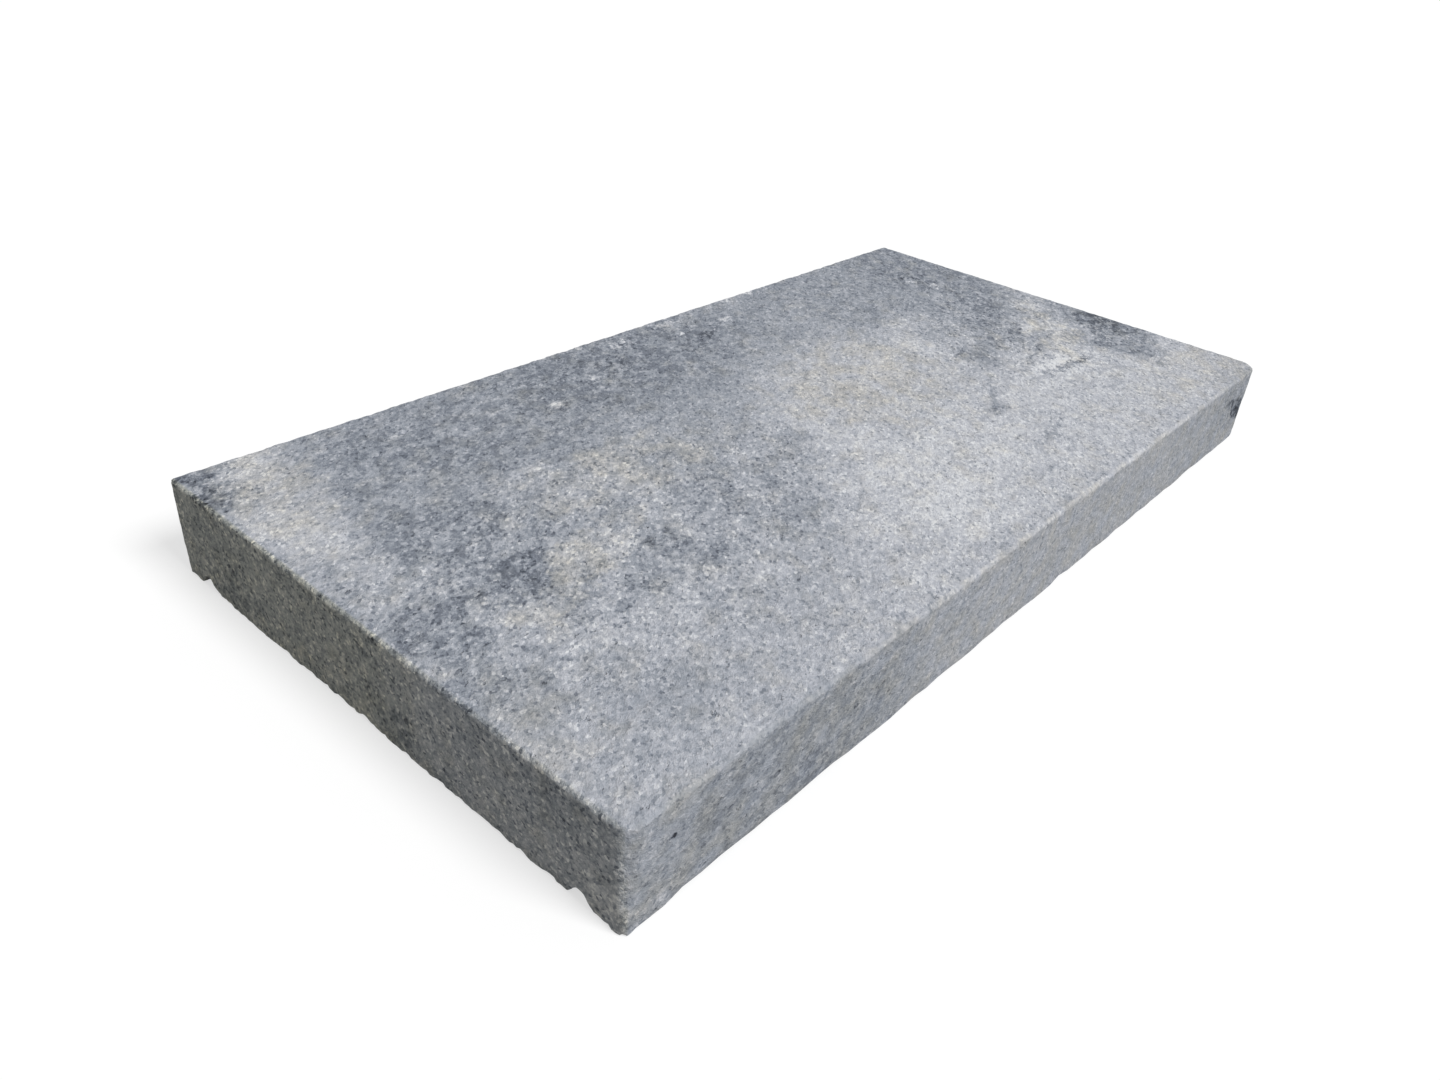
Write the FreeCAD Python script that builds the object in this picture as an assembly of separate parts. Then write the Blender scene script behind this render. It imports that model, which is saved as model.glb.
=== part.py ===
import FreeCAD, Part
import math
import os

# A wall coping stone: one slab of cast concrete that caps a free-standing wall and throws the
# rain clear of it. X runs along the wall, Y across it and Z up. The origin is the middle of the
# bed, the flat underside that lies on the wall, and the front is the long side towards -Y.

# Driving sizes, in millimetres
length = 580.0
width = 300.0
thickness = 50.0

# Rounding of the edges. The front corners are full at the top and narrow towards the bed, and
# the back ones are nearly sharp at the top and fuller towards the bed.
front_corner_radius_at_top = 9.0
front_corner_radius_at_bed = 1.5
back_corner_radius_at_top = 2.0
back_corner_radius_at_bed = 4.0
top_edge_radius = 1.5

# Drip grooves, one under each long side. The inset is from the side to the groove's middle.
groove_inset = 22.0
groove_mouth = 13.0
groove_depth = 6.0
groove_root_radius = 2.5
groove_lip_radius = 1.2

# How closely a point of the solid matches a place that was worked out
place_tolerance = 1e-4


def section_point(y, z):
    """A point of the cross-section, drawn on the left end of the stone."""
    return FreeCAD.Vector(-length / 2, y, z)


def line(start, end):
    return Part.LineSegment(start, end).toShape()


def arc(start, middle, end):
    return Part.Arc(start, middle, end).toShape()


def half_groove():
    """Distances from the groove's middle and heights of its lip and flank, from the bed inwards.

    The flank starts at the sharp corner of the mouth and touches the circle of the root. The lip
    then rounds that corner, from the bed to the flank.
    """
    half_mouth = groove_mouth / 2
    root_height = groove_depth - groove_root_radius
    corner_to_root = math.hypot(half_mouth, root_height)
    flank_length = math.sqrt(corner_to_root ** 2 - groove_root_radius ** 2)
    flank_angle = math.atan2(root_height, half_mouth) + math.asin(groove_root_radius / corner_to_root)
    lip_setback = groove_lip_radius * math.tan(flank_angle / 2)
    lip_reach = groove_lip_radius * math.sin(flank_angle / 2)
    lip_rise = groove_lip_radius * (1 - math.cos(flank_angle / 2))
    along_flank = (math.cos(flank_angle), math.sin(flank_angle))
    lip_on_bed = (half_mouth + lip_setback, 0)
    lip_middle = (half_mouth + lip_setback - lip_reach, lip_rise)
    lip_on_flank = (half_mouth - lip_setback * along_flank[0], lip_setback * along_flank[1])
    flank_at_root = (half_mouth - flank_length * along_flank[0], flank_length * along_flank[1])
    return lip_on_bed, lip_middle, lip_on_flank, flank_at_root


def groove_edges(middle_y):
    """The groove's outline, from its lip towards +Y over the root to its lip towards -Y."""
    back = [section_point(middle_y + reach, height) for reach, height in half_groove()]
    front = [section_point(middle_y - reach, height) for reach, height in half_groove()]
    root = section_point(middle_y, groove_depth)
    return [
        arc(back[0], back[1], back[2]),
        line(back[2], back[3]),
        arc(back[3], root, front[3]),
        line(front[3], front[2]),
        arc(front[2], front[1], front[0]),
    ]


def cross_section():
    """The face of the left end: a rectangle with a drip groove near each side of its bed."""
    side_y = width / 2
    groove_y = side_y - groove_inset
    lip_y = half_groove()[0][0]
    bed_back = section_point(side_y, 0)
    bed_front = section_point(-side_y, 0)
    top_back = section_point(side_y, thickness)
    top_front = section_point(-side_y, thickness)
    edges = [line(top_front, top_back), line(top_back, bed_back)]
    edges.append(line(bed_back, section_point(groove_y + lip_y, 0)))
    edges.extend(groove_edges(groove_y))
    edges.append(line(section_point(groove_y - lip_y, 0), section_point(lip_y - groove_y, 0)))
    edges.extend(groove_edges(-groove_y))
    edges.append(line(section_point(-groove_y - lip_y, 0), bed_front))
    edges.append(line(bed_front, top_front))
    return Part.Face(Part.Wire(edges))


def corner_edge(stone, end, side):
    """The upright edge at the end (-1 left, 1 right) and the side (-1 front, 1 back)."""
    for edge in stone.Edges:
        ends = [vertex.Point for vertex in edge.Vertexes]
        at_end = all(abs(p.x - end * length / 2) < place_tolerance for p in ends)
        at_side = all(abs(p.y - side * width / 2) < place_tolerance for p in ends)
        if at_end and at_side:
            return edge


def rounded_corner(stone, end, side, radius_at_bed, radius_at_top):
    """The radius changes evenly along the edge, whichever way the edge itself runs."""
    edge = corner_edge(stone, end, side)
    starts_at_bed = edge.valueAt(edge.FirstParameter).z < thickness / 2
    if starts_at_bed:
        return stone.makeFillet(radius_at_bed, radius_at_top, [edge])
    return stone.makeFillet(radius_at_top, radius_at_bed, [edge])


def top_edges(stone):
    """The edges all round the top face."""
    return [
        edge
        for edge in stone.Edges
        if all(abs(vertex.Z - thickness) < place_tolerance for vertex in edge.Vertexes)
    ]


def coping_stone():
    stone = cross_section().extrude(FreeCAD.Vector(length, 0, 0))
    for end in (-1, 1):
        stone = rounded_corner(stone, end, -1, front_corner_radius_at_bed, front_corner_radius_at_top)
        stone = rounded_corner(stone, end, 1, back_corner_radius_at_bed, back_corner_radius_at_top)
    return stone.makeFillet(top_edge_radius, top_edges(stone)).Solids[0]


os.makedirs("parts", exist_ok=True)
coping_stone().exportStep(os.path.join("parts", "coping_stone.step"))
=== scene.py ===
import bmesh
import bpy
import math
from mathutils import Matrix, Vector


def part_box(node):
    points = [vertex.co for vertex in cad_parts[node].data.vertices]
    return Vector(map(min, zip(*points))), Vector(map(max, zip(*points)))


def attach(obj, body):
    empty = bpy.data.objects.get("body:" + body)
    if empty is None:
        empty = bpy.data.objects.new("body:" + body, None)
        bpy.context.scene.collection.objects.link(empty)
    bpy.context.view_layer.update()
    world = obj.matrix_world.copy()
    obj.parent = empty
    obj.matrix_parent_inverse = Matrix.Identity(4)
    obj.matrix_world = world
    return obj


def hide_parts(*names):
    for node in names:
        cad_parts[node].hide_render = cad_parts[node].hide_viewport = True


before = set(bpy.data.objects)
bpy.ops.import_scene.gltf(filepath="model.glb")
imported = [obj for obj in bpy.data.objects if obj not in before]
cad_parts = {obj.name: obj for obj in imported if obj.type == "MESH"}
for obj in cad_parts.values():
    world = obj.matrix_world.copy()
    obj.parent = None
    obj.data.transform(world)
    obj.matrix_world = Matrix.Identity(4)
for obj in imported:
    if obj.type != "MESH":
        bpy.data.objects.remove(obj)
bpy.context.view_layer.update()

MM = 0.001

# The stone's box, and the sizes that its section repeats
LOW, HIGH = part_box("coping_stone")
LENGTH = HIGH.x - LOW.x
WIDTH = HIGH.y - LOW.y
THICKNESS = HIGH.z - LOW.z
HALF_LENGTH = LENGTH / 2
HALF_WIDTH = WIDTH / 2
GROOVE_INSET = 22 * MM
GROOVE_Y = HALF_WIDTH - GROOVE_INSET
GROOVE_MOUTH = 13 * MM
GROOVE_ROOT = 4 * MM
GROOVE_DEPTH = 6 * MM
GROOVE_ROUNDING = 1.3 * MM
FRONT_CORNER_AT_TOP = 9 * MM
FRONT_CORNER_AT_BED = 1.5 * MM
BACK_CORNER_AT_TOP = 2 * MM
BACK_CORNER_AT_BED = 4 * MM
TOP_EDGE = 1.5 * MM

# The same box in millimetres, the unit in which the patterns are drawn
END_X = HALF_LENGTH / MM
SIDE_Y = HALF_WIDTH / MM
TOP_Z = THICKNESS / MM

# The axes by number, and the two long sides by their direction along Y
X, Y, Z = 0, 1, 2
FRONT, BACK = -1, 1

# Spacing of the mesh. Strips are cut right round the stone and then split into parts, but not on
# the bed, and of the cuts along the stone the bed takes one in three.
STRIP = 10 * MM
STRIP_PARTS = 5
GRID = STRIP / STRIP_PARTS
BED_STEPS = 3

# How near counts as on a plane, and the least rise of the normal of a face that looks up
NEAR = 0.01 * MM
LOOKS_UP = 0.5

# Two faces that meet at less than this are shaded as one surface
SMOOTH_ANGLE = math.radians(40)

# Broken places, in millimetres: the middle of a ball that lies mostly outside, and its radius
BITES = {
    "foot of the near corner": ((-294, -153, -4), 7.5),
    "lip by the near groove": ((-293, -136, -5), 5.5),
    "foot of the left back corner": ((-294, 154, -5), 9.5),
    "dip in the left end": ((-296, 3, -6), 9.5),
    "small dip in the left end": ((-295, -98, -5), 7.5),
    "nick in the front": ((28, -158, -6), 11.3),
    "large nick in the front": ((195, -159, -6), 11.5),
    "small nick in the front": ((165, -157, -6), 10),
    "worn stretch of the front": ((-160, -182, -40), 51.8),
    "hollow by the right corner": ((269, -161, 26), 13),
}


# Modelling the stone

def select(piece, kind, wanted):
    """Selects, in edit mode, just the edges, faces or verts that pass the test."""
    mesh = bmesh.from_edit_mesh(piece.data)
    for part in (*mesh.verts, *mesh.edges, *mesh.faces):
        part.select = False
    for part in getattr(mesh, kind):
        if wanted(part):
            part.select_set(True)
    bmesh.update_edit_mesh(piece.data)


def spans(edge, axis, least):
    """Whether the edge reaches further than that along the axis."""
    return abs(edge.verts[0].co[axis] - edge.verts[1].co[axis]) > least


def cut(axis, place):
    """Cuts what is selected with a plane across the axis."""
    across = Vector((0, 0, 0))
    across[axis] = 1
    bpy.ops.mesh.bisect(plane_co=across * place, plane_no=across)


def cut_all(axis, place):
    bpy.ops.mesh.select_all(action="SELECT")
    cut(axis, place)


def runs_along_groove(edge, width, height):
    """Whether it is a long edge in a strip of that width over a groove, no higher than that."""
    in_strip = all(
        v.co.z < height + NEAR and abs(abs(v.co.y) - GROOVE_Y) < width / 2 + NEAR for v in edge.verts
    )
    return in_strip and spans(edge, X, LENGTH / 2)


def sink_grooves(stone):
    """Both drip grooves: strips of the bed are cut out and their middles are pushed up."""
    for side in (FRONT, BACK):
        for reach in (-GROOVE_MOUTH / 2, -GROOVE_ROOT / 2, GROOVE_ROOT / 2, GROOVE_MOUTH / 2):
            cut_all(Y, side * GROOVE_Y + reach)
    select(stone, "edges", lambda edge: runs_along_groove(edge, GROOVE_ROOT, 0))
    bpy.ops.transform.translate(value=(0, 0, GROOVE_DEPTH))
    select(stone, "edges", lambda edge: runs_along_groove(edge, GROOVE_MOUTH, GROOVE_DEPTH))
    bpy.ops.mesh.bevel(offset=GROOVE_ROUNDING, segments=2, affect="EDGES")


def is_upright(edge, side):
    """Whether it is one of the two uprights of that side."""
    at_side = all(v.co.y * side > HALF_WIDTH - NEAR for v in edge.verts)
    return at_side and spans(edge, Z, THICKNESS / 2)


def round_uprights(stone, side, at_top, at_bed, segments):
    """Both uprights of a side, rounded to their larger radius and then drawn in at the other end."""
    larger = max(at_top, at_bed)
    narrower = min(at_top, at_bed) / larger
    narrow_height = 0 if at_bed < at_top else THICKNESS
    select(stone, "edges", lambda edge: is_upright(edge, side))
    bpy.ops.mesh.bevel(offset=larger, segments=segments, affect="EDGES")
    for end in (-1, 1):
        corner = Vector((end * HALF_LENGTH, side * HALF_WIDTH, narrow_height))
        select(stone, "verts", lambda vert: all(abs(gap) < larger + NEAR for gap in vert.co - corner))
        bpy.ops.transform.resize(value=(narrower, narrower, 1), center_override=corner)


def borders_top(edge):
    """Whether the edge runs between the top face and a face that doesn't look up."""
    on_top = all(v.co.z > THICKNESS - NEAR for v in edge.verts)
    return on_top and any(face.normal.z < LOOKS_UP for face in edge.link_faces)


def round_top(stone):
    """The rounded edge all round the top face."""
    select(stone, "edges", borders_top)
    bpy.ops.mesh.bevel(offset=TOP_EDGE, segments=2, affect="EDGES")


def between(low, high, step):
    """Places at even steps between two ends, without the ends."""
    count = round((high - low) / step)
    return [low + (high - low) * number / count for number in range(1, count)]


def crosses_strip_off_bed(edge):
    """Whether the edge runs from one side of a strip to the other and isn't on the bed."""
    return spans(edge, X, STRIP - GRID) and any(v.co.z > NEAR for v in edge.verts)


def refine(stone):
    """An even grid on every face, fine enough for the grain and coarser on the bed."""
    for place in between(0, THICKNESS, GRID):
        cut_all(Z, place)
    for number, place in enumerate(between(-HALF_WIDTH, HALF_WIDTH, GRID), 1):
        if number % BED_STEPS:
            select(stone, "faces", lambda face: face.calc_center_median().z > NEAR)
            cut(Y, place)
        else:
            cut_all(Y, place)
    for place in between(-HALF_LENGTH, HALF_LENGTH, STRIP):
        cut_all(X, place)
    for end in (-1, 1):
        for number in range(1, STRIP_PARTS):
            cut_all(X, end * (HALF_LENGTH - number * GRID))
    select(stone, "edges", crosses_strip_off_bed)
    bpy.ops.mesh.subdivide(number_cuts=STRIP_PARTS - 1)


def stone_blank():
    """The slab without its grain, from a cube of the stone's size."""
    bpy.ops.object.select_all(action="DESELECT")
    bpy.ops.mesh.primitive_cube_add(
        size=1, location=(0, 0, THICKNESS / 2), scale=(LENGTH, WIDTH, THICKNESS)
    )
    stone = bpy.context.object
    stone.name = "concrete_stone"
    bpy.ops.object.transform_apply(location=True, rotation=False, scale=True)
    bpy.ops.object.mode_set(mode="EDIT")
    bpy.ops.mesh.select_mode(type="EDGE")
    sink_grooves(stone)
    bpy.ops.mesh.select_mode(type="VERT")
    round_uprights(stone, FRONT, FRONT_CORNER_AT_TOP, FRONT_CORNER_AT_BED, segments=5)
    round_uprights(stone, BACK, BACK_CORNER_AT_TOP, BACK_CORNER_AT_BED, segments=3)
    round_top(stone)
    bpy.ops.mesh.select_mode(type="EDGE")
    refine(stone)
    bpy.ops.object.mode_set(mode="OBJECT")
    return stone


# Building node trees

# How far apart the patterns of two neighbouring seeds are taken, along X, Y and Z
SEED_STEPS = (31, 17, 7)


class Field:
    """An output of a node. Sums and products of fields add their own nodes to the same tree."""

    def __init__(self, graph, socket):
        self.graph = graph
        self.socket = socket

    def __add__(self, other):
        return self.graph.math("ADD", self, other)

    def __radd__(self, other):
        return self.graph.math("ADD", other, self)

    def __sub__(self, other):
        return self.graph.math("SUBTRACT", self, other)

    def __rsub__(self, other):
        return self.graph.math("SUBTRACT", other, self)

    def __mul__(self, other):
        return self.graph.math("MULTIPLY", self, other)

    def __rmul__(self, other):
        return self.graph.math("MULTIPLY", other, self)


class Graph:
    """Adds nodes to a tree and joins them, so that a pattern reads as a row of short steps."""

    def __init__(self, tree):
        self.tree = tree

    def node(self, kind, inputs=None, **settings):
        """A new node. Inputs are named or numbered, and each is a plain value or a field."""
        node = self.tree.nodes.new(kind)
        for name, setting in settings.items():
            setattr(node, name, setting)
        for name, value in (inputs or {}).items():
            if isinstance(value, Field):
                self.feed(node.inputs[name], value)
            else:
                node.inputs[name].default_value = value
        return node

    def field(self, node, output=0):
        return Field(self, node.outputs[output])

    def feed(self, socket, field):
        """Joins a field to an input of a node."""
        self.tree.links.new(field.socket, socket)

    def math(self, operation, *values):
        return self.field(self.node("ShaderNodeMath", dict(enumerate(values)), operation=operation))

    def vector(self, operation, *values, output=0):
        node = self.node("ShaderNodeVectorMath", dict(enumerate(values)), operation=operation)
        return self.field(node, output)

    def scaled(self, vector, factor):
        node = self.node("ShaderNodeVectorMath", {0: vector, "Scale": factor}, operation="SCALE")
        return self.field(node)

    def parts(self, vector):
        node = self.node("ShaderNodeSeparateXYZ", {0: vector})
        return [self.field(node, axis) for axis in (X, Y, Z)]

    def ramp(self, value, start, end, low=0.0, high=1.0):
        """Runs smoothly from low to high while the value runs from start to end."""
        inputs = {"Value": value, "From Min": start, "From Max": end, "To Min": low, "To Max": high}
        return self.field(self.node("ShaderNodeMapRange", inputs, interpolation_type="SMOOTHSTEP"))

    def seeded(self, place, seed):
        """A place in another part of the same pattern for each seed."""
        return self.vector("ADD", place, [step * seed for step in SEED_STEPS])

    def noise(self, place, size, seed, detail=1.0, roughness=0.5, output="Fac"):
        """Smooth noise round 0.5, whose blots are about as wide as the size."""
        inputs = {
            "Vector": self.seeded(place, seed),
            "Scale": 1 / size,
            "Detail": detail,
            "Roughness": roughness,
        }
        return self.field(self.node("ShaderNodeTexNoise", inputs), output)

    def cells(self, place, size, seed):
        """Grains of about the given size: how far the nearest middle is, and a number per grain."""
        node = self.node("ShaderNodeTexVoronoi", {"Vector": self.seeded(place, seed), "Scale": 1 / size})
        return self.field(node, "Distance"), self.parts(self.field(node, "Color"))[0]


def blots(g, place, size, start, end, seed, detail=2.0):
    """Irregular spots where the noise runs past the start, full where it reaches the end."""
    return g.ramp(g.noise(place, size, seed, detail, roughness=0.6), start, end)


# Relief

# Depths in millimetres. The lift brings the waves, crumbs and grain back up towards the plain slab,
# and the least depth keeps them below it.
WAVE_DEPTH = 0.3
CRUMB_DEPTH = 0.25
GRAIN_DEPTH = 0.4
LIFT = 0.3
LEAST_DEPTH = 0.02
PORE_DEPTH = 1.1
FAR_CORNER_DEPTH = 1.3

# How far the surface of a broken place rises and falls, as a share of the radius of its ball
BITE_ROUGHNESS = 0.28


def bitten(g, place, middle, radius):
    """Pushes what is inside the ball out to its rough surface, which leaves a broken hollow."""
    outwards = g.vector("SUBTRACT", place, middle)
    distance = g.vector("LENGTH", outwards, output="Value")
    crumbs = g.noise(place, size=5, seed=3, detail=2)
    rough_radius = radius * (1 - BITE_ROUGHNESS / 2 + BITE_ROUGHNESS * crumbs)
    push = g.math("MAXIMUM", g.math("DIVIDE", rough_radius, distance), 1)
    return g.vector("ADD", middle, g.scaled(outwards, push))


def arrises(g, place):
    """How far a place is from the nearest top, bed and upright arris."""
    x, y, z = g.parts(place)
    from_end = END_X - g.math("ABSOLUTE", x)
    from_side = SIDE_Y - g.math("ABSOLUTE", y)
    from_edge = g.math("MINIMUM", from_end, from_side)
    top = g.math("MAXIMUM", from_edge, TOP_Z - z)
    bed = g.math("MAXIMUM", from_edge, z)
    upright = g.math("MAXIMUM", from_end, from_side)
    return top, bed, upright


def crumbled_arris(g, place, distance, reach, depth, size, seed):
    """Deepest on the arris itself, and only where the noise is high."""
    crumbs = blots(g, place, size, start=0.42, end=0.7, seed=seed)
    return depth * crumbs * g.ramp(distance, start=reach, end=0)


def arris_wear(g, place):
    """The bed's arrises have lost small crumbs and long stretches, and the far corner is worn down."""
    top, bed, upright = arrises(g, place)
    top_wear = crumbled_arris(g, place, top, reach=2.5, depth=0.6, size=5, seed=6)
    bed_wear = crumbled_arris(g, place, bed, reach=3, depth=0.7, size=5, seed=7)
    bed_wear += crumbled_arris(g, place, bed, reach=5, depth=0.5, size=24, seed=9)
    upright_wear = crumbled_arris(g, place, upright, reach=3, depth=0.7, size=6, seed=8)
    level_place = g.vector("MULTIPLY", place, (1, 1, 0))
    far_corner = g.vector("DISTANCE", level_place, (END_X, -SIDE_Y, 0), output="Value")
    corner_wear = FAR_CORNER_DEPTH * g.ramp(far_corner, start=10, end=2)
    return top_wear + bed_wear + upright_wear + corner_wear


def relief_depth(g, place):
    """How far the surface lies below the plain slab, in millimetres."""
    waves = WAVE_DEPTH * g.noise(place, size=60, seed=1)
    crumbs = CRUMB_DEPTH * blots(g, place, size=9, start=0.3, end=0.75, seed=2)
    grain = GRAIN_DEPTH * g.noise(place, size=3.5, seed=4)
    even = g.math("MAXIMUM", waves + crumbs + grain - LIFT, LEAST_DEPTH)
    distance, lot = g.cells(place, size=13, seed=5)
    is_pore = g.ramp(lot, start=0.72, end=0.78)
    pores = PORE_DEPTH * g.ramp(distance, start=0.12, end=0.04) * is_pore
    return even + pores + arris_wear(g, place)


def relief_tree():
    """Breaks out the bites, and then sinks the whole surface by the depth of the relief."""
    tree = bpy.data.node_groups.new("stone_relief", "GeometryNodeTree")
    tree.interface.new_socket("Geometry", in_out="INPUT", socket_type="NodeSocketGeometry")
    tree.interface.new_socket("Geometry", in_out="OUTPUT", socket_type="NodeSocketGeometry")
    g = Graph(tree)
    blank = g.field(g.node("NodeGroupInput"))
    place = g.scaled(g.field(g.node("GeometryNodeInputPosition")), 1 / MM)
    broken_place = place
    for middle, radius in BITES.values():
        broken_place = bitten(g, broken_place, middle, radius)
    chipped = g.field(
        g.node("GeometryNodeSetPosition", {"Geometry": blank, "Position": g.scaled(broken_place, MM)})
    )
    inwards = g.scaled(g.field(g.node("GeometryNodeInputNormal")), -MM)
    offset = g.scaled(inwards, relief_depth(g, place))
    rough = g.field(g.node("GeometryNodeSetPosition", {"Geometry": chipped, "Offset": offset}))
    g.node("NodeGroupOutput", {"Geometry": rough})
    return tree


def add_relief(stone):
    """The chips, the crumbled arrises, the pores and the grain, all cut into the slab."""
    bpy.context.view_layer.objects.active = stone
    modifier = stone.modifiers.new("relief", "NODES")
    modifier.node_group = relief_tree()
    bpy.ops.object.modifier_apply(modifier=modifier.name)
    bpy.ops.object.select_all(action="DESELECT")
    stone.select_set(True)
    bpy.ops.object.shade_smooth_by_angle(angle=SMOOTH_ANGLE)


# Concrete

def as_seen(red, green, blue):
    """A colour given by its values on a screen, 0 to 255."""
    return tuple(((value / 255 + 0.055) / 1.055) ** 2.4 for value in (red, green, blue)) + (1,)


# The tones of the mix, from the painted shade of a deep pore to a pale chip. A step of 0.1 is 18 values
# on a screen.
TONES = {
    0.0: (44, 47, 55),
    0.25: (90, 96, 107),
    0.45: (125, 131, 142),
    0.55: (143, 149, 159),
    0.65: (162, 167, 176),
    0.78: (186, 189, 197),
    1.0: (227, 229, 232),
}

# Areas of the top, in millimetres: middle, reach, turn in degrees, change of tone and softness
TOP_AREAS = {
    "slate band at the back": ((-90, 108), (150, 50), 0, -0.08, 0.5),
    "darkest part of the band": ((-20, 122), (80, 30), 5, -0.06, 0.6),
    "slate at the right back": ((215, 112), (100, 50), 0, -0.06, 0.6),
    "slate at the far corner": ((270, 100), (40, 60), 0, -0.05, 0.5),
    "left back corner": ((-282, 130), (11, 22), 0, -0.18, 0.3),
    "pale behind the left edge": ((-263, 98), (24, 50), -12, 0.14, 0.3),
    "grey left front": ((-175, -110), (135, 48), 0, 0.065, 0.5),
    "pale right of the spot": ((-30, -44), (36, 28), 0, 0.09, 0.5),
    "slate towards the left": ((-205, 70), (42, 58), 0, -0.03, 0.6),
    "slate in the left middle": ((-222, 26), (30, 28), 0, -0.08, 0.4),
    "mottle at the left edge": ((-272, -22), (20, 20), 0, -0.10, 0.3),
    "mottle in from the edge": ((-226, -15), (25, 15), 10, -0.12, 0.3),
    "dark line behind the chips": ((-190, 4), (14, 5), 15, -0.12, 0.3),
    "mottle at the left front": ((-276, -75), (14, 20), 0, -0.07, 0.4),
    "spot by the chips": ((-211, -66), (7, 4), 0, -0.14, 0.4),
    "mottle right of the chips": ((-188, -60), (14, 7), 0, -0.08, 0.4),
    "mottle in the chips": ((-158, -36), (14, 9), 20, -0.10, 0.3),
    "mottle in front of them": ((-140, -60), (16, 8), -5, -0.09, 0.4),
    "slate spot": ((-94, -62), (18, 11), 0, -0.06, 0.4),
    "slate by the cream": ((-42, -18), (16, 12), 30, -0.05, 0.4),
    "slate at the near front": ((-232, -112), (18, 11), 0, -0.07, 0.5),
    "short line at the front": ((-93, -99), (7, 3), 20, -0.10, 0.4),
    "large pale area": ((56, 0), (76, 53), 10, 0.13, 0.4),
    "pale front": ((124, -105), (190, 48), 0, 0.155, 0.4),
    "pale middle front": ((0, -75), (60, 36), 0, 0.04, 0.5),
    "pale front edge": ((-80, -138), (70, 14), 0, 0.06, 0.5),
    "pale right middle": ((160, 22), (36, 28), 0, 0.07, 0.4),
    "pale under the slate": ((160, -48), (60, 26), 0, 0.07, 0.4),
    "pale by the right back": ((275, 2), (22, 12), 25, 0.05, 0.4),
    "pale by the left edge": ((-268, 35), (24, 24), 0, 0.03, 0.5),
    "pale left of the chips": ((-228, -38), (26, 9), 5, 0.06, 0.3),
    "pale chips": ((-180, -20), (26, 14), 15, 0.06, 0.3),
    "pale behind the chips": ((-145, 25), (45, 24), 0, 0.03, 0.4),
    "slate right of the middle": ((162, -20), (30, 11), 15, -0.05, 0.3),
    "slate above it": ((192, -12), (20, 9), -10, -0.08, 0.3),
    "slate at the right": ((222, 25), (34, 20), 25, -0.08, 0.4),
    "brown spot": ((214, -9), (12, 4), 15, -0.10, 0.3),
    "pale streak at the right": ((228, -32), (56, 13), 47, 0.08, 0.3),
    "dark crumbly patch": ((268, -62), (42, 25), 50, -0.19, 0.15),
    "darkest of the patch": ((256, -80), (16, 6), 6, -0.06, 0.4),
    "slate blot at the back": ((240, 84), (11, 15), 20, -0.08, 0.4),
}

# Thin dark veins on the top, written in the same way
TOP_VEINS = {
    "left of the middle": ((105, -56), (24, 2), 36, -0.16, 0.5),
    "blot at its foot": ((93, -66), (8, 4), 0, -0.08, 0.5),
    "right of the middle": ((182, -65), (28, 2.2), -6, -0.24, 0.4),
    "blot at its end": ((196, -68), (10, 5), 0, -0.14, 0.4),
    "behind it": ((176, -44), (20, 2), 15, -0.16, 0.5),
    "second behind it": ((150, -8), (12, 2), 25, -0.12, 0.5),
    "at the front": ((90, -104), (18, 2), 12, -0.16, 0.5),
    "at the right front": ((240, -104), (8, 2.5), 12, -0.22, 0.4),
    "in the middle front": ((152, -127), (9, 2), 10, -0.12, 0.5),
    "at the far front": ((47, -125), (8, 2), 10, -0.12, 0.5),
    "in the dark band": ((40, 115), (9, 2.5), 15, -0.16, 0.4),
    "under the pale spot": ((-35, 118), (12, 3), 20, -0.10, 0.5),
}

# Pale grains and crumbs on the top that show one by one
PALE_CRUMBS = {
    "first at the back edge": ((-23, 135), (2.6, 2.6), 0, 0.34, 0.5),
    "its neighbour": ((-13, 137), (3, 2.6), 0, 0.38, 0.5),
    "second at the back edge": ((31, 141), (7, 2.2), 0, 0.26, 0.5),
    "small white one": ((24, 124), (2, 2), 0, 0.40, 0.5),
    "third at the back edge": ((68, 124), (5, 2.2), 30, 0.27, 0.5),
    "fourth at the back edge": ((95, 147), (5, 2.6), 0, 0.26, 0.5),
    "fifth at the back edge": ((118, 147), (3, 2), 0, 0.28, 0.5),
    "sixth at the back edge": ((-45, 147), (5, 2), 0, 0.16, 0.5),
    "bluish one in the band": ((-170, 110), (6, 5), 0, 0.10, 0.5),
    "small one in the band": ((-195, 108), (4, 4), 0, 0.10, 0.5),
    "cream one in the band": ((-104, 95), (3, 3), 0, 0.30, 0.5),
    "small one in the middle": ((-63, 108), (3.4, 2.6), 0, 0.22, 0.5),
    "by the back of the blot": ((234, 88), (3.6, 2.4), 20, 0.30, 0.5),
    "by the front of the blot": ((241, 72), (4.4, 2.4), 20, 0.30, 0.5),
    "right back": ((152, 88), (4, 5), 0, 0.16, 0.4),
    "behind the chips": ((-158, 50), (5, 3), 0, 0.16, 0.4),
    "above the right vein": ((180, -56), (20, 4), -5, 0.12, 0.3),
    "first streak at the right": ((222, -17), (13, 4), 30, 0.14, 0.3),
    "second streak at the right": ((232, -33), (14, 4), 30, 0.10, 0.3),
}

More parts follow.
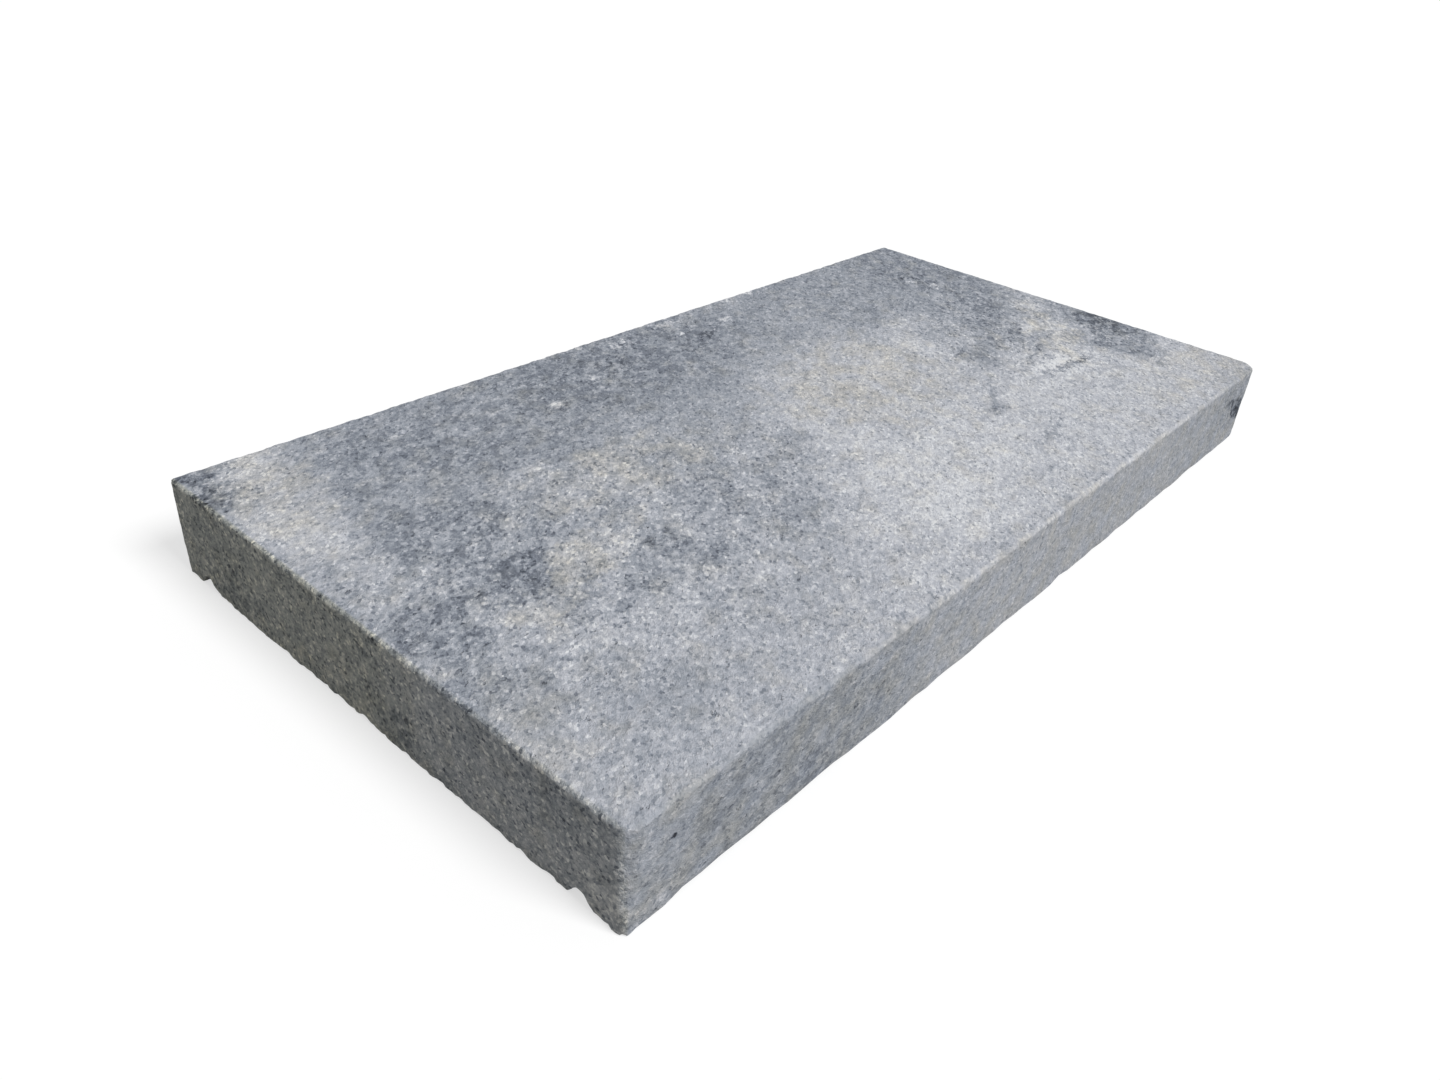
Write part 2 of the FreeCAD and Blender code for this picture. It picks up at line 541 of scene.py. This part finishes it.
# Areas of the front side, by X and Z
FRONT_AREAS = {
    "near end": ((-262, 25), (24, 40), 0, -0.04, 0.6),
    "grey stretch": ((-185, 22), (60, 40), 0, -0.07, 0.5),
    "darker spot in it": ((-182, 10), (16, 8), 0, -0.06, 0.5),
    "light stretch": ((30, 25), (110, 40), 0, 0.03, 0.6),
    "right end": ((262, 32), (32, 22), 0, -0.05, 0.5),
    "upper streak of the hollow": ((266, 29), (19, 3.5), -14, -0.26, 0.4),
    "lower streak of the hollow": ((275, 20), (12, 3.5), -20, -0.30, 0.4),
    # Painted shade: the three blowholes are dark spots in the colour, not hollows in the mesh
    "painted shade of the first blowhole": ((-211, 23), (1.8, 1.6), 0, -0.45, 0.4),
    "painted shade of the second blowhole": ((-267.5, 33), (1.3, 1.1), 0, -0.40, 0.4),
    "painted shade of the small blowhole": ((-161, 26), (1.5, 1.0), 0, -0.25, 0.5),
    "pale crumbs at the foot": ((-272, 7), (2.5, 2.5), 0, 0.16, 0.5),
}

# Areas of the left end, by Y and Z
LEFT_AREAS = {
    "foot of the near corner": ((-140, 8), (9, 9), -15, 0.12, 0.4),
    "near half": ((-90, 16), (60, 24), 0, 0.035, 0.5),
    "back half": ((75, 34), (80, 22), 0, -0.035, 0.5),
    # Painted shade along the top arris of the left end: it darkens the rounding, which the key light
    # would otherwise show as a pale line
    "painted shade on the top arris": ((-5, 50), (150, 2), 0, -0.10, 0.5),
    "dark by the near corner": ((-118, 40), (34, 12), 0, -0.06, 0.5),
    "dark blot in the middle": ((-24, 12), (16, 10), 0, -0.10, 0.4),
    "dark blot at the back": ((102, 14), (18, 10), 0, -0.08, 0.4),
    "dark top edge": ((-12, 42), (14, 6), 0, -0.06, 0.4),
    "pale crumbs at the back": ((88, 3), (6, 3), 10, 0.20, 0.4),
    "pale crumbs in the middle": ((2, 4), (6, 3), 10, 0.10, 0.4),
}

# Where the top is warmer than the rest
CREAM_AREAS = {
    "left back": ((-262, 105), (22, 48), -12, 0.8, 0.4),
    "middle cluster": ((-125, 22), (70, 24), 0, 0.8, 0.4),
    "cluster to the left of it": ((-182, -22), (30, 15), 15, 1.0, 0.3),
    "cluster at the left": ((-228, -38), (26, 10), 5, 0.8, 0.3),
    "large pale area": ((60, 5), (66, 46), 10, 0.9, 0.4),
    "right middle": ((170, -12), (24, 12), 0, 0.7, 0.4),
    "right front corner": ((276, -132), (24, 24), 0, 0.5, 0.6),
    "right": ((230, -30), (48, 13), 47, 0.8, 0.3),
    "near corner": ((-272, -90), (18, 26), 0, 0.4, 0.5),
    "right front": ((240, -122), (50, 20), 0, 0.5, 0.6),
}

# Where the pigments are least mixed
MOTTLED_AREAS = {
    "left and middle": ((-175, -20), (120, 58), 5, 1.0, 0.6),
    "right": ((220, -15), (80, 62), 0, 1.0, 0.5),
    "left back corner": ((-275, 130), (20, 22), 0, 1.0, 0.5),
}

# How far from its face a pattern of the top or of a side ends, and how far it is still full
TOP_PATTERN_END = 3.5
SIDE_PATTERN_END = 3
PATTERN_FULL = 1

# The mix was struck off slantwise, which draws the grains out a little
STROKE = {"Rotation": (0, 0, math.radians(39)), "Scale": (1.25, 1, 1)}

# How strong a pattern is on the plain concrete, and how much stronger or weaker on some of it
CLOUDS = {"plain": 0.045, "mottled": 0.06, "on_front": -0.02}
CRUST = {"plain": 0.045, "mottled": 0.05, "on_left": 0.02, "on_front": -0.025}
# The grain is stronger on the left end partly as painted shade: it stands in for the shading of the grain
# in the dim light there
GRAIN = {"plain": 1, "on_left": 0.7, "mottled": 0.3, "on_front": -0.2}

# The tone of the plain concrete, and how far each pattern raises it or lowers it
BASE_TONE = 0.66
FINE_GRAINS = 0.05
COARSE_GRAINS = 0.11
# Partly painted light and shade: how strong the pale and dark specks are
SPECKS_AND_SHADE = 0.09
# Partly painted light and shade: how far raised grit is lightened and sunk grit darkened
GRIT_AND_SHADE = 0.6
CHIPS = 0.07
# Painted shade: how far the pores are darkened, on top of their sinking in the bump
PORE_SHADE = 0.14
CRACKS = 0.10

# How far the crust breaks up a dark area, and how strong a dark speck is against a pale one
CRUST_IN_DARK_AREAS = 1.1
DARK_TO_PALE_SPECKS = 1.3

# What makes the mix warmer: cream areas, a slow change from place to place, chips and the front
WARM_CREAM = 0.55
WARM_CHANGE = 2.0
WARM_CHIPS = 0.3
WARM_FRONT = 0.45
WARM_TINT = as_seen(255, 249, 236)
LEFT_END_TINT = as_seen(255, 251, 232)

# Height of the crust and depth of the pores against the height of the grit, for the fine bumps
CRUST_HEIGHT = 0.2
PORE_BUMP = 0.5


def area_group():
    """One blot of pigment on a face: how much it changes the tone at a place.

    Along and Across are its two axes, each divided by its reach. Outer and Inner are the squares of
    where it ends and where it is full, as shares of the reach.
    """
    tree = bpy.data.node_groups.new("pigment_area", "ShaderNodeTree")
    inputs = {
        "Before": "NodeSocketFloat",
        "Place": "NodeSocketVector",
        "Middle": "NodeSocketVector",
        "Along": "NodeSocketVector",
        "Across": "NodeSocketVector",
        "Outer": "NodeSocketFloat",
        "Inner": "NodeSocketFloat",
        "Amount": "NodeSocketFloat",
    }
    for name, kind in inputs.items():
        tree.interface.new_socket(name, in_out="INPUT", socket_type=kind)
    tree.interface.new_socket("Tone", in_out="OUTPUT", socket_type="NodeSocketFloat")
    g = Graph(tree)
    entry = g.node("NodeGroupInput")
    before, place, middle, along, across, outer, inner, amount = [g.field(entry, name) for name in inputs]
    gap = g.vector("SUBTRACT", place, middle)
    reach_along = g.vector("DOT_PRODUCT", gap, along, output="Value")
    reach_across = g.vector("DOT_PRODUCT", gap, across, output="Value")
    share = g.ramp(reach_along * reach_along + reach_across * reach_across, outer, inner)
    g.node("NodeGroupOutput", {"Tone": before + share * amount})
    return tree


PIGMENT_AREA = area_group()


def painted(g, place, areas):
    """The sum of the areas on one face."""
    total = 0
    for middle, (length, width), turn, amount, softness in areas.values():
        ahead, aside = math.cos(math.radians(turn)), math.sin(math.radians(turn))
        inputs = {
            "Before": total,
            "Place": place,
            "Middle": (*middle, 0),
            "Along": (ahead / length, aside / length, 0),
            "Across": (-aside / width, ahead / width, 0),
            "Outer": (1 + softness) ** 2,
            "Inner": (1 - softness) ** 2,
            "Amount": amount,
        }
        total = g.field(g.node("ShaderNodeGroup", inputs, node_tree=PIGMENT_AREA))
    return total


def flat(g, across, up):
    """A place on a flat face, from two distances."""
    return g.field(g.node("ShaderNodeCombineXYZ", {"X": across, "Y": up}))


def tinted(g, share, colour, tint):
    """The colour times the tint, as far as the share goes. Sockets 6, 7 and 2 hold the colours."""
    inputs = {0: share, 6: colour, 7: tint}
    return g.field(g.node("ShaderNodeMix", inputs, data_type="RGBA", blend_type="MULTIPLY"), 2)


def tone_colours(g, tone):
    """Turns a tone into the colour of the mix."""
    node = g.node("ShaderNodeValToRGB", {"Fac": tone})
    stops = node.color_ramp.elements
    while len(stops) < len(TONES):
        stops.new(0.5)
    for stop, (place, colour) in zip(stops, TONES.items()):
        stop.position = place
        stop.color = as_seen(*colour)
    return g.field(node)


def crumbled(g, place, noise_place, size, reach, seed):
    """The place, shaken so that what is drawn with it gets crumbly outlines."""
    shake = g.noise(noise_place, size, seed, detail=3, roughness=0.75, output="Color")
    return g.vector("ADD", place, g.scaled(g.vector("SUBTRACT", shake, (0.5, 0.5, 0.5)), reach))


class SurfacePoint:
    """A point of the stone's surface: its place, which faces it is on, and what its mix is like."""

    def __init__(self, g):
        self.place = g.scaled(g.field(g.node("ShaderNodeTexCoord"), "Object"), 1 / MM)
        self.x, self.y, self.z = g.parts(self.place)
        self.on_top = g.ramp(self.z, TOP_Z - TOP_PATTERN_END, TOP_Z - PATTERN_FULL)
        self.on_front = g.ramp(self.y, SIDE_PATTERN_END - SIDE_Y, PATTERN_FULL - SIDE_Y)
        self.on_left = g.ramp(self.x, SIDE_PATTERN_END - END_X, PATTERN_FULL - END_X)
        stroke = g.node("ShaderNodeMapping", {"Vector": self.place, **STROKE}, vector_type="TEXTURE")
        self.struck = g.field(stroke)
        crumbly = crumbled(g, self.place, self.struck, size=6, reach=24, seed=12)
        ragged = crumbled(g, crumbly, self.place, size=26, reach=34, seed=11)
        ragged_x, self.ragged_y, self.ragged_z = g.parts(ragged)
        self.for_areas = flat(g, ragged_x, self.ragged_y)
        crumbly_x, crumbly_y, _ = g.parts(crumbly)
        self.for_details = flat(g, crumbly_x, crumbly_y)
        self.cream = self.on_top * painted(g, self.for_areas, CREAM_AREAS)
        self.mottled = self.on_top * painted(g, self.for_areas, MOTTLED_AREAS)

    def strength(self, shares):
        """How strong a pattern is here, from its share on the plain concrete and what is added."""
        total = shares["plain"]
        for part, share in shares.items():
            if part != "plain":
                total += share * getattr(self, part)
        return total


def pigments(g, point, crust):
    """The tone of all areas, veins and crumbs. The crust breaks up the dark ones among the areas."""
    top = painted(g, point.for_areas, TOP_AREAS) + painted(g, point.for_details, TOP_VEINS)
    areas = point.on_top * top
    areas += point.on_front * painted(g, flat(g, point.x, point.z), FRONT_AREAS)
    areas += point.on_left * painted(g, flat(g, point.ragged_y, point.ragged_z), LEFT_AREAS)
    tone = BASE_TONE + areas - CRUST_IN_DARK_AREAS * crust * g.math("MINIMUM", areas, 0)
    return tone + point.on_top * painted(g, point.for_details, PALE_CRUMBS)


def grains(g, point, grit_and_shade):
    """Coarse grains, of which a few are pale or dark specks, fine grains and grit. The specks and the
    grit are partly painted light and shade: pale specks stand in for lit grain tops, dark ones for the
    shade between grains, and raised grit is painted lighter.
    """
    lot = g.cells(point.struck, size=1.3, seed=14)[1]
    fine_lot = g.cells(point.struck, size=0.6, seed=19)[1]
    # Pale specks are partly painted highlights on grain tops, and dark specks partly painted shade
    # between grains
    pale_specks_and_highlights = g.ramp(lot, start=0.86, end=0.97)
    specks_and_shade = pale_specks_and_highlights - DARK_TO_PALE_SPECKS * g.ramp(lot, start=0.12, end=0.02)
    tone = FINE_GRAINS * (fine_lot - 0.5) + COARSE_GRAINS * (lot - 0.5) + SPECKS_AND_SHADE * specks_and_shade + GRIT_AND_SHADE * grit_and_shade
    return point.strength(GRAIN) * tone


def hairline_cracks(g, point):
    """Thin lines where the noise crosses its middle, kept only here and there."""
    from_line = g.math("ABSOLUTE", g.noise(point.struck, size=4, seed=25, detail=2) - 0.5)
    line = g.ramp(from_line, start=0.03, end=0.01)
    return line * blots(g, point.struck, size=7, start=0.5, end=0.58, seed=26)


def warmed(g, point, chips, colour):
    """The colour with the cream of the top and the front, and the browner back of the left end."""
    warmth = WARM_CREAM * point.cream + WARM_CHANGE * (g.noise(point.struck, size=10, seed=18) - 0.5)
    warmth += WARM_CHIPS * chips + WARM_FRONT * point.on_front
    colour = tinted(g, g.ramp(warmth, start=-0.2, end=1.3), colour, WARM_TINT)
    end_share = point.on_left * g.ramp(point.ragged_y, start=-60, end=0, low=0.45)
    return tinted(g, end_share, colour, LEFT_END_TINT)


def concrete_material():
    material = bpy.data.materials.new("concrete")
    material.use_nodes = True
    shader = material.node_tree.nodes["Principled BSDF"]
    g = Graph(material.node_tree)
    point = SurfacePoint(g)
    crust = blots(g, point.struck, size=5, start=0.42, end=0.58, seed=24, detail=4) - 0.5
    clouds = blots(g, point.struck, size=24, start=0.42, end=0.58, seed=13, detail=5) - 0.5
    # Grit is a bump and a tone at once: where it rises it is painted lighter and where it sinks darker,
    # partly the mix's own tone and partly painted light and shade
    grit_and_shade = g.noise(point.struck, size=2.9, seed=22, detail=4, roughness=0.85) - 0.5
    chips = blots(g, point.struck, size=4.5, start=0.60, end=0.66, seed=16, detail=3) * point.cream
    pores = blots(g, point.struck, size=3.5, start=0.66, end=0.74, seed=17, detail=3)

    tone = pigments(g, point, crust)
    tone += point.strength(CLOUDS) * clouds
    tone += point.strength(CRUST) * crust
    tone += grains(g, point, grit_and_shade)
    tone += CHIPS * chips
    # Painted shade in the pores, which the bump also sinks
    tone -= PORE_SHADE * pores + CRACKS * hairline_cracks(g, point)
    g.feed(shader.inputs["Base Color"], warmed(g, point, chips, tone_colours(g, tone)))

    height = grit_and_shade + CRUST_HEIGHT * crust - PORE_BUMP * pores
    bump = g.node("ShaderNodeBump", {"Height": height, "Distance": MM, "Strength": 1.0})
    g.feed(shader.inputs["Normal"], g.field(bump))
    dullness = g.noise(point.place, size=8, seed=20, detail=2)
    g.feed(shader.inputs["Roughness"], g.ramp(dullness, start=0.3, end=0.7, low=0.86, high=0.96))
    shader.inputs["Specular IOR Level"].default_value = 0.3
    return material


# The finished stone

stone = stone_blank()
add_relief(stone)
stone.data.materials.append(concrete_material())
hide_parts("coping_stone")
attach(stone, "root")


# Studio

# The floor lies just below the bed, so that no part of the two is in the same plane
FLOOR_SIZE = 40
FLOOR_GAP = 0.2 * MM

# How much light the floor throws on the stone, and how bright the camera sees it
FLOOR_GREY = (0.3, 0.3, 0.3, 1)
FLOOR_GREY_SHOWN = (0.4, 0.4, 0.4, 1)
FLOOR_GLOW_SHOWN = 0.62

# The key light stands above the front, and the white surround fills in
TOWARDS_KEY = Vector((0.12, -0.656, 0.745))
KEY_STRENGTH = 0.875 * math.pi
KEY_SPREAD = math.radians(24)
SURROUND_STRENGTH = 0.35

# The photo's camera: beyond the near corner and above it, rolled a little
CAMERA_PLACE = Vector((-464, -316.5, 314)) * MM
CAMERA_TOWARDS = Vector((0.6582, 0.5304, -0.5343))
CAMERA_ROLL = math.radians(5.1)
CAMERA_LENS = 27.5


def floor_paint():
    """White to the camera and in reflections, and grey in the light that it throws on the stone."""
    paint = bpy.data.materials.new("floor_white")
    paint.use_nodes = True
    paint.node_tree.nodes.clear()
    g = Graph(paint.node_tree)
    ray = g.node("ShaderNodeLightPath")
    shown = g.math("MAXIMUM", g.field(ray, "Is Camera Ray"), g.field(ray, "Is Glossy Ray"))
    grey = g.field(g.node("ShaderNodeBsdfDiffuse", {"Color": FLOOR_GREY}))
    pale = g.field(g.node("ShaderNodeBsdfDiffuse", {"Color": FLOOR_GREY_SHOWN}))
    glow = g.field(g.node("ShaderNodeEmission", {"Strength": FLOOR_GLOW_SHOWN}))
    white = g.field(g.node("ShaderNodeAddShader", {0: pale, 1: glow}))
    either = g.field(g.node("ShaderNodeMixShader", {"Fac": shown, 1: grey, 2: white}))
    g.node("ShaderNodeOutputMaterial", {"Surface": either})
    return paint


def studio_floor():
    bpy.ops.object.select_all(action="DESELECT")
    bpy.ops.mesh.primitive_plane_add(size=FLOOR_SIZE, location=(0, 0, -FLOOR_GAP))
    floor = bpy.context.object
    floor.name = "studio_floor"
    bpy.ops.object.transform_apply(location=True, rotation=False, scale=False)
    floor.data.materials.append(floor_paint())


def studio_object(name, data):
    """Puts a light or a camera in the scene, ready to be turned."""
    thing = bpy.data.objects.new(name, data)
    bpy.context.scene.collection.objects.link(thing)
    thing.rotation_mode = "QUATERNION"
    return thing


def key_light():
    lamp = bpy.data.lights.new("key", "SUN")
    lamp.energy = KEY_STRENGTH
    lamp.angle = KEY_SPREAD
    studio_object("key", lamp).rotation_quaternion = (-TOWARDS_KEY).to_track_quat("-Z", "Y")


def surround():
    """Pure white to the camera and dimmer as a light."""
    world = bpy.data.worlds.new("studio")
    bpy.context.scene.world = world
    world.use_nodes = True
    g = Graph(world.node_tree)
    shown = g.field(g.node("ShaderNodeLightPath"), "Is Camera Ray")
    strength = g.node("ShaderNodeMapRange", {"Value": shown, "To Min": SURROUND_STRENGTH, "To Max": 1})
    back = world.node_tree.nodes["Background"]
    back.inputs["Color"].default_value = (1, 1, 1, 1)
    g.feed(back.inputs["Strength"], g.field(strength))


def photo_camera():
    data = bpy.data.cameras.new("view")
    data.sensor_width = 36
    data.lens = CAMERA_LENS
    data.clip_start = 0.01
    camera = studio_object("view", data)
    look = CAMERA_TOWARDS.to_track_quat("-Z", "Y").to_matrix().to_4x4()
    roll = Matrix.Rotation(CAMERA_ROLL, 4, "Z")
    camera.matrix_world = Matrix.Translation(CAMERA_PLACE) @ look @ roll
    bpy.context.scene.camera = camera


studio_floor()
key_light()
surround()
photo_camera()
bpy.context.scene.view_settings.view_transform = "Standard"
